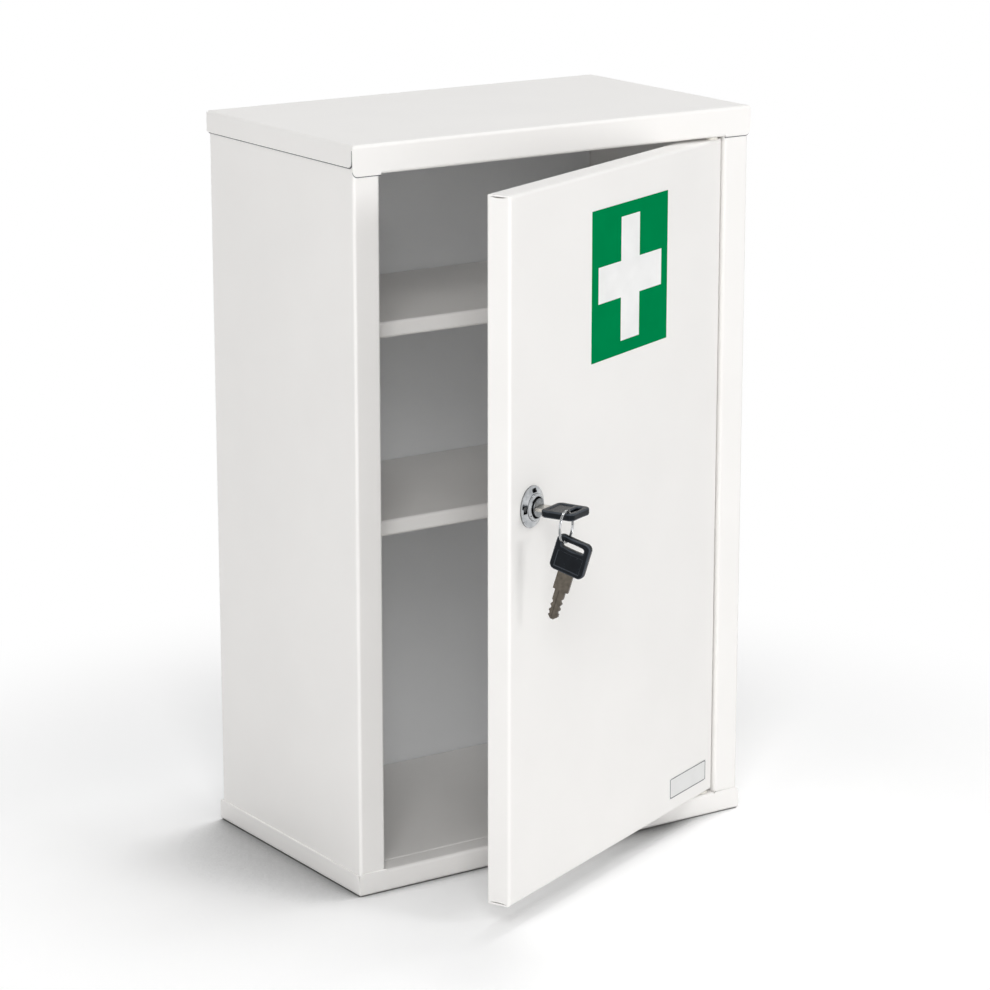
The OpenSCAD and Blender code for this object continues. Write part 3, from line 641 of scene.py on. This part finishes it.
class MakeKeys(bpy.types.Operator):
    """Moulds both keys' plastic bows and finishes their steel blades"""

    bl_idname = "cabinet.make_keys"
    bl_label = "Keys"

    def execute(self, context):
        sizes = context.scene.cabinet_keys
        plastic = moulded_abs("black_abs", "#0d1116")
        pushed_in, hung = key_frames()
        for key, node, body in ((pushed_in, "key_bow", "key"), (hung, "spare_key_bow", "spare_key")):
            points, painted_highlight = bow_surface(key, sizes.edge, sizes.recess)
            bow = grid_piece("moulded_" + node, points)
            # each point's painted highlight is stored on the bow for its material
            wear_and_highlight = bow.data.attributes.new("painted_highlight", "FLOAT", "POINT")
            wear_and_highlight.data.foreach_set("value", painted_highlight.ravel())
            bow.data.materials.append(plastic)
            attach(bow, body)
            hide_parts(node)
        finish_nodes(plated_steel("bright_nickel", "#cbc8c2", 0.5 * MM, 0.26), "key_blade")
        # the spare key's blade gets a darker nickel than the pushed-in key's
        finish_nodes(plated_steel("dark_nickel", "#635d55", 0.5 * MM, 0.36), "spare_key_blade")
        return {"FINISHED"}


class MakeRing(bpy.types.Operator):
    """Winds the split ring that carries the spare key"""

    bl_idname = "cabinet.make_ring"
    bl_label = "Split ring"

    def execute(self, context):
        wire = context.scene.cabinet_keys.wire
        low, high = (np.array(v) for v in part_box("key_ring"))
        centre = (low + high) / 2
        swing = JOINTS["spare_key_swing"]["axis"]
        normal = np.array([swing[1], -swing[0], 0.0])
        radius = (high[2] - low[2]) / 2 - wire * 0.75
        points = ring_surface(centre, normal, (0.0, 0.0, 1.0), radius, wire, wire * 0.98)
        ring = grid_piece("split_ring", points, wrap_u=False)
        add_caps(ring, *points.shape[:2])
        ring.data.materials.append(chrome_plate("ring_steel", "#9fa1a3", "#b9babb"))
        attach(ring, "ring")
        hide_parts("key_ring")
        return {"FINISHED"}


class MakeEdges(bpy.types.Operator):
    """Rounds the flanges' coated edges, draws dark strips of painted shade along the lid's flanges and fills
    the base's corner gaps
    """

    bl_idname = "cabinet.make_edges"
    bl_label = "Coated edges"

    def execute(self, context):
        finish = context.scene.cabinet_finish
        coat = powder_coat("edge_powder_coat", list(finish.coat) + [1.0])
        shade = dull_polymer("painted_flange_shade", "#55585b", 0.7)
        for cap, up in (("base", 1), ("lid", -1)):
            for side in (-1, 1):
                for part, path in flange_paths(cap, up, side, 0.0).items():
                    round_strip(f"{cap}_{part}_bead_{side_name(side)}", path, SHEET / 2, coat)
        for side in (-1, 1):
            # painted shade: thin dark strips under the lid's flanges and in their corner gaps, where only
            # shade falls
            for part, path in flange_paths("lid", -1, side, SHADE_STRIP_OUT).items():
                round_strip(f"lid_{part}_seam_{side_name(side)}", path, SHADE_STRIP_R, shade)
            low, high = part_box("base_pan")
            x = side * (high[0] - SHEET / 2)
            y = low[1] + SHEET + RELIEF / 2
            weld = np.array([[x, y, 2 * SHEET], [x, y, BASE_SIDE]])
            round_strip(f"base_corner_weld_{side_name(side)}", weld, SHEET / 2, coat)
        return {"FINISHED"}


class MakeLabelBorder(bpy.types.Operator):
    """Prints the thin grey border round the blank label"""

    bl_idname = "cabinet.make_label_border"
    bl_label = "Label border"

    def execute(self, context):
        low, high = (np.array(v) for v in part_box("blank_label"))
        outward = np.array(JOINTS["lock_turn"]["axis"])
        along = np.array([-outward[1], outward[0], 0.0])
        lift, line, margin, half_film = 0.03 * MM, 0.45 * MM, 0.5 * MM, 0.1 * MM
        half_w = (high[0] - low[0]) / abs(along[0]) / 2 - margin
        half_h = (high[2] - low[2]) / 2 - margin
        face = (low + high) / 2 + outward * (half_film + lift)
        u = np.linspace(0, 2 * np.pi, 161)[:-1] + 0.01
        edge = rounded_outline(u, half_w, half_h, 0.8 * MM)
        inner = rounded_outline(u, half_w - line, half_h - line, 0.5 * MM)
        loops = []
        for outline, depth in ((edge, lift), (edge, -lift / 2), (inner, -lift / 2), (inner, lift)):
            loops.append(face + outline[:, 0:1] * along + outline[:, 1:2] * [0, 0, 1.0] + outward * depth)
        border = grid_piece("label_border", np.stack(loops, 1))
        border.data.materials.append(vinyl_film("grey_print", linear("#5c5f62")))
        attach(border, "door")
        return {"FINISHED"}


class MakeStudio(bpy.types.Operator):
    """Sets the floor, the lamps and the camera"""

    bl_idname = "cabinet.make_studio"
    bl_label = "Studio"

    def execute(self, context):
        settings = context.scene.cabinet_studio
        make_floor()
        make_world(settings.ambient)
        middle = Vector((0.0, 0.0, 0.23))
        make_lamp("key_lamp", (-1.3, -1.9, 1.9), middle, 1.0, settings.key)
        make_lamp("fill_lamp", (-1.5, -2.1, 0.8), middle, 1.2, settings.fill)
        make_lamp("left_lamp", (-2.4, -0.4, 0.8), middle, 1.2, settings.left)
        make_lamp("right_lamp", (1.1, -2.2, 0.9), middle, 0.6, settings.right)
        make_lamp("top_lamp", (0.45, 0.1, 2.3), middle, 0.6, settings.top)
        make_camera(settings)
        context.scene.view_settings.view_transform = "Standard"
        return {"FINISHED"}


def make_floor():
    """White paper that keeps the cabinet's cast shadow, with more shadow painted into its colour, and that
    fades into the white background further out.

    Its colour darkens, as painted shadow, by two measures of how much of the sky the cabinet hides: a soft
    one towards the light, and a close one for the line where the cabinet stands on it.
    """
    size = 6.0
    level = -0.05 * MM
    corners = [[-size, -size, level], [size, -size, level], [size, size, level], [-size, size, level]]
    mesh = bpy.data.meshes.new("studio_floor")
    mesh.from_pydata(corners, [], [[0, 1, 2, 3]])
    floor = bpy.data.objects.new("studio_floor", mesh)
    bpy.context.scene.collection.objects.link(floor)
    material, tree, shader = new_material("studio_paper", Roughness=1.0, Specular_IOR_Level=0.0)
    distance = add_node(tree, "ShaderNodeVectorMath", {"operation": "LENGTH"}, {0: coordinates(tree)})
    smooth = {"interpolation_type": "SMOOTHSTEP", "From Min": 0.22, "From Max": 0.52}
    fade = add_node(tree, "ShaderNodeMapRange", smooth, {"Value": distance.outputs["Value"]})
    seen = seen_rays(tree)
    lift = add_node(tree, "ShaderNodeMath", {"operation": "MULTIPLY", 1: 0.19}, {0: seen})
    # painted shadow: two ambient-occlusion measures darken the floor's colour round the cabinet
    towards_light = add_node(tree, "ShaderNodeCombineXYZ", {"X": 0.78, "Y": -0.1, "Z": 0.62})
    wide = {"Distance": 170 * MM, "samples": 12}
    open_sky = add_node(tree, "ShaderNodeAmbientOcclusion", wide, {"Normal": towards_light.outputs[0]})
    soft = ramp_of(tree, open_sky.outputs["AO"], grey(0.06), grey(1.0), 0.1, 0.66)
    close = add_node(tree, "ShaderNodeAmbientOcclusion", {"Distance": 30 * MM, "samples": 12})
    line = ramp_of(tree, close.outputs["AO"], grey(0.12), grey(1.0), 0.22, 0.66)
    painted_shadow = multiplied(tree, soft, line)
    tree.links.new(lift.outputs[0], shader.inputs["Emission Strength"])
    away = add_node(tree, "ShaderNodeMath", {"operation": "MULTIPLY"}, {0: seen, 1: fade.outputs[0]})
    tree.links.new(painted_shadow, shader.inputs["Base Color"])
    tree.links.new(painted_shadow, shader.inputs["Emission Color"])
    white = add_node(tree, "ShaderNodeEmission")
    shaders = {0: away.outputs[0], 1: shader.outputs[0], 2: white.outputs[0]}
    mixed = add_node(tree, "ShaderNodeMixShader", None, shaders)
    tree.links.new(mixed.outputs[0], tree.nodes["Material Output"].inputs["Surface"])
    mesh.materials.append(material)


def seen_rays(tree):
    """One for the rays that show the background: the camera's, and those that metal and glass send on."""
    paths = add_node(tree, "ShaderNodeLightPath")
    seen = paths.outputs["Is Camera Ray"]
    for kind in ("Is Glossy Ray", "Is Transmission Ray"):
        either = {0: seen, 1: paths.outputs[kind]}
        seen = add_node(tree, "ShaderNodeMath", {"operation": "MAXIMUM"}, either).outputs[0]
    return seen


def make_world(strength):
    """Even white light from all round, and plain white to the camera and to mirrors."""
    world = bpy.data.worlds.new("studio_white")
    bpy.context.scene.world = world
    world.use_nodes = True
    tree = world.node_tree
    span = {"To Min": strength, "To Max": 1.0}
    level = add_node(tree, "ShaderNodeMapRange", span, {"Value": seen_rays(tree)})
    tree.links.new(level.outputs[0], tree.nodes["Background"].inputs["Strength"])
    tree.nodes["Background"].inputs["Color"].default_value = grey(1.0)


def make_lamp(name, place, target, size, power):
    """A square soft box that faces the cabinet."""
    lamp = bpy.data.lights.new(name, "AREA")
    lamp.size = size
    lamp.energy = power
    holder = bpy.data.objects.new(name, lamp)
    bpy.context.scene.collection.objects.link(holder)
    holder.location = place
    holder.rotation_euler = (target - Vector(place)).to_track_quat("-Z", "Y").to_euler()


def make_camera(settings):
    """The camera looks at a point beside the cabinet's front, from the photograph's direction."""
    az, el = settings.azimuth, settings.elevation
    back = Vector((math.sin(az) * math.cos(el), -math.cos(az) * math.cos(el), math.sin(el)))
    right = Vector((math.cos(az), math.sin(az), 0.0))
    up = back.cross(right)
    front_middle = Vector((0.0, -85 * MM, 230 * MM))
    target = front_middle + right * (-38.3 * MM) + up * (1.6 * MM)
    camera = bpy.data.cameras.new("studio_camera")
    camera.lens = settings.focal
    camera.clip_end = 20.0
    holder = bpy.data.objects.new("studio_camera", camera)
    bpy.context.scene.collection.objects.link(holder)
    holder.location = target + back * settings.distance
    holder.rotation_euler = back.to_track_quat("Z", "Y").to_euler()
    bpy.context.scene.camera = holder


class CabinetPanel(bpy.types.Panel):
    """Lists the steps that finish the cabinet"""

    bl_idname = "VIEW3D_PT_cabinet"
    bl_label = "Medicine cabinet"
    bl_space_type = "VIEW_3D"
    bl_region_type = "UI"
    bl_category = "Cabinet"

    def draw(self, context):
        for step in STEPS:
            self.layout.operator(step.bl_idname)


GROUPS = {"cabinet_finish": CabinetFinish, "cabinet_keys": KeySizes, "cabinet_studio": StudioSettings}
STEPS = (MakeStudio, FinishShell, MakeEdges, FinishDoor, FinishLock, MakeKeys, MakeRing, MakeLabelBorder)


def register():
    for name, group in GROUPS.items():
        bpy.utils.register_class(group)
        setattr(bpy.types.Scene, name, PointerProperty(type=group))
    for made in (*STEPS, CabinetPanel):
        bpy.utils.register_class(made)


def unregister():
    for made in (*STEPS, CabinetPanel):
        bpy.utils.unregister_class(made)
    for name, group in GROUPS.items():
        delattr(bpy.types.Scene, name)
        bpy.utils.unregister_class(group)


def main():
    register()
    for step in STEPS:
        area, name = step.bl_idname.split(".")
        getattr(getattr(bpy.ops, area), name)()


if __name__ == "__main__":
    main()
